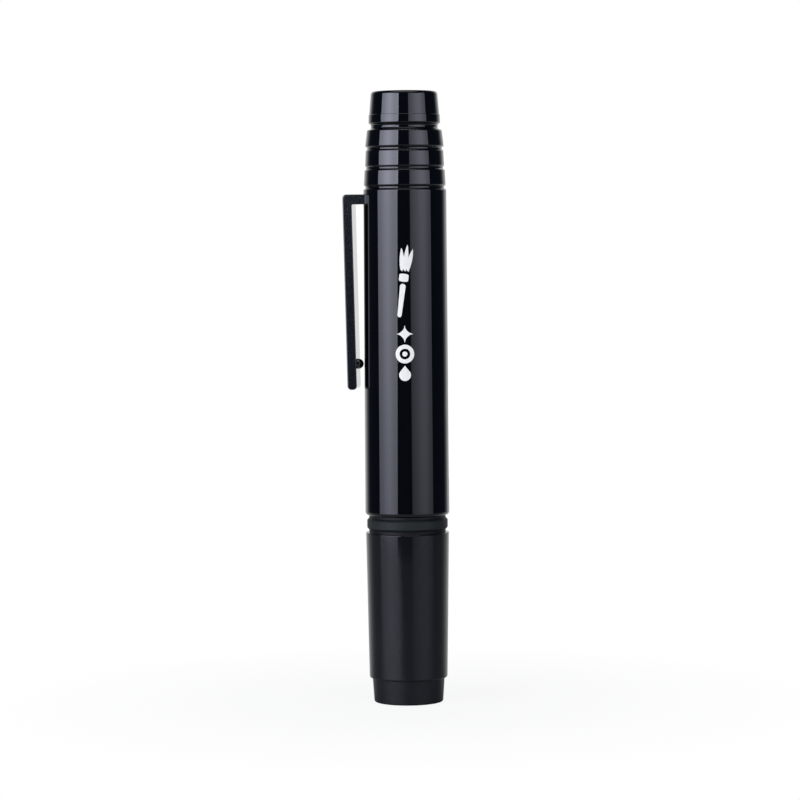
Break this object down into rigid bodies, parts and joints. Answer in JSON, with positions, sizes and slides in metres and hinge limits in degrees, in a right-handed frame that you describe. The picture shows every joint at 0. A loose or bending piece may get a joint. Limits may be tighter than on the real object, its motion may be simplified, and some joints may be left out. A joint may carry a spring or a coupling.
{
  "type": "lens cleaning pen",
  "caption": "Capped lens cleaning pen: gloss barrel with a grooved nose over a retractable brush, side pocket clip, thumb slide, and a soft cleaning tip under a satin cap.",
  "frame": {"origin": "centre of the flat end of the cap plug, on which the capped pen stands", "axes": "+Z along the pen to the brush mouth, pocket clip on -X, thumb slide turned 20 degrees from +X towards +Y"},
  "size_m": [0.0211, 0.0172, 0.125],
  "materials": {
    "barrel_gloss": "high gloss black with a faint blue cast",
    "clip_matte": "matte moulded black",
    "button_matte": "matte moulded black",
    "ring_rubber": "matte soft black",
    "cap_satin": "satin black with a faint blue cast",
    "plug_matte": "matte moulded black",
    "inner_plastic": "plain moulded dark grey",
    "ferrule_metal": "satin drawn metal",
    "hair": "soft pale hair",
    "foam": "fine open foam",
    "pad_leather": "napped, carbon loaded",
    "sponge": "open foam loaded with carbon powder"
  },
  "bodies": {
    "cap": {"cap_sleeve": "cap_satin", "cap_plug": "plug_matte", "carbon_sponge": "sponge"},
    "seal": {"seal_ring": "ring_rubber"},
    "pen": {"barrel": "barrel_gloss", "nose_ring": "barrel_gloss", "clip": "clip_matte", "tip_base": "inner_plastic", "tip_stem": "inner_plastic", "tip_foam": "foam", "tip_pad": "pad_leather"},
    "brush": {"brush_carriage": "inner_plastic", "thumb_button": "button_matte", "brush_ferrule": "ferrule_metal", "brush_tuft": "hair"}
  },
  "joints": [
    {"name": "cap_pull", "type": "slide", "parent": "cap", "child": "seal", "axis": [0, 0, 1], "range_m": [0, 0.03]},
    {"name": "cap_turn", "type": "hinge", "parent": "seal", "child": "pen", "pos_m": [0, 0, 0.03655], "axis": [0, 0, 1], "continuous": true},
    {"name": "brush_slide", "type": "slide", "parent": "pen", "child": "brush", "axis": [0, 0, 1], "range_m": [0, 0.0115]}
  ]
}
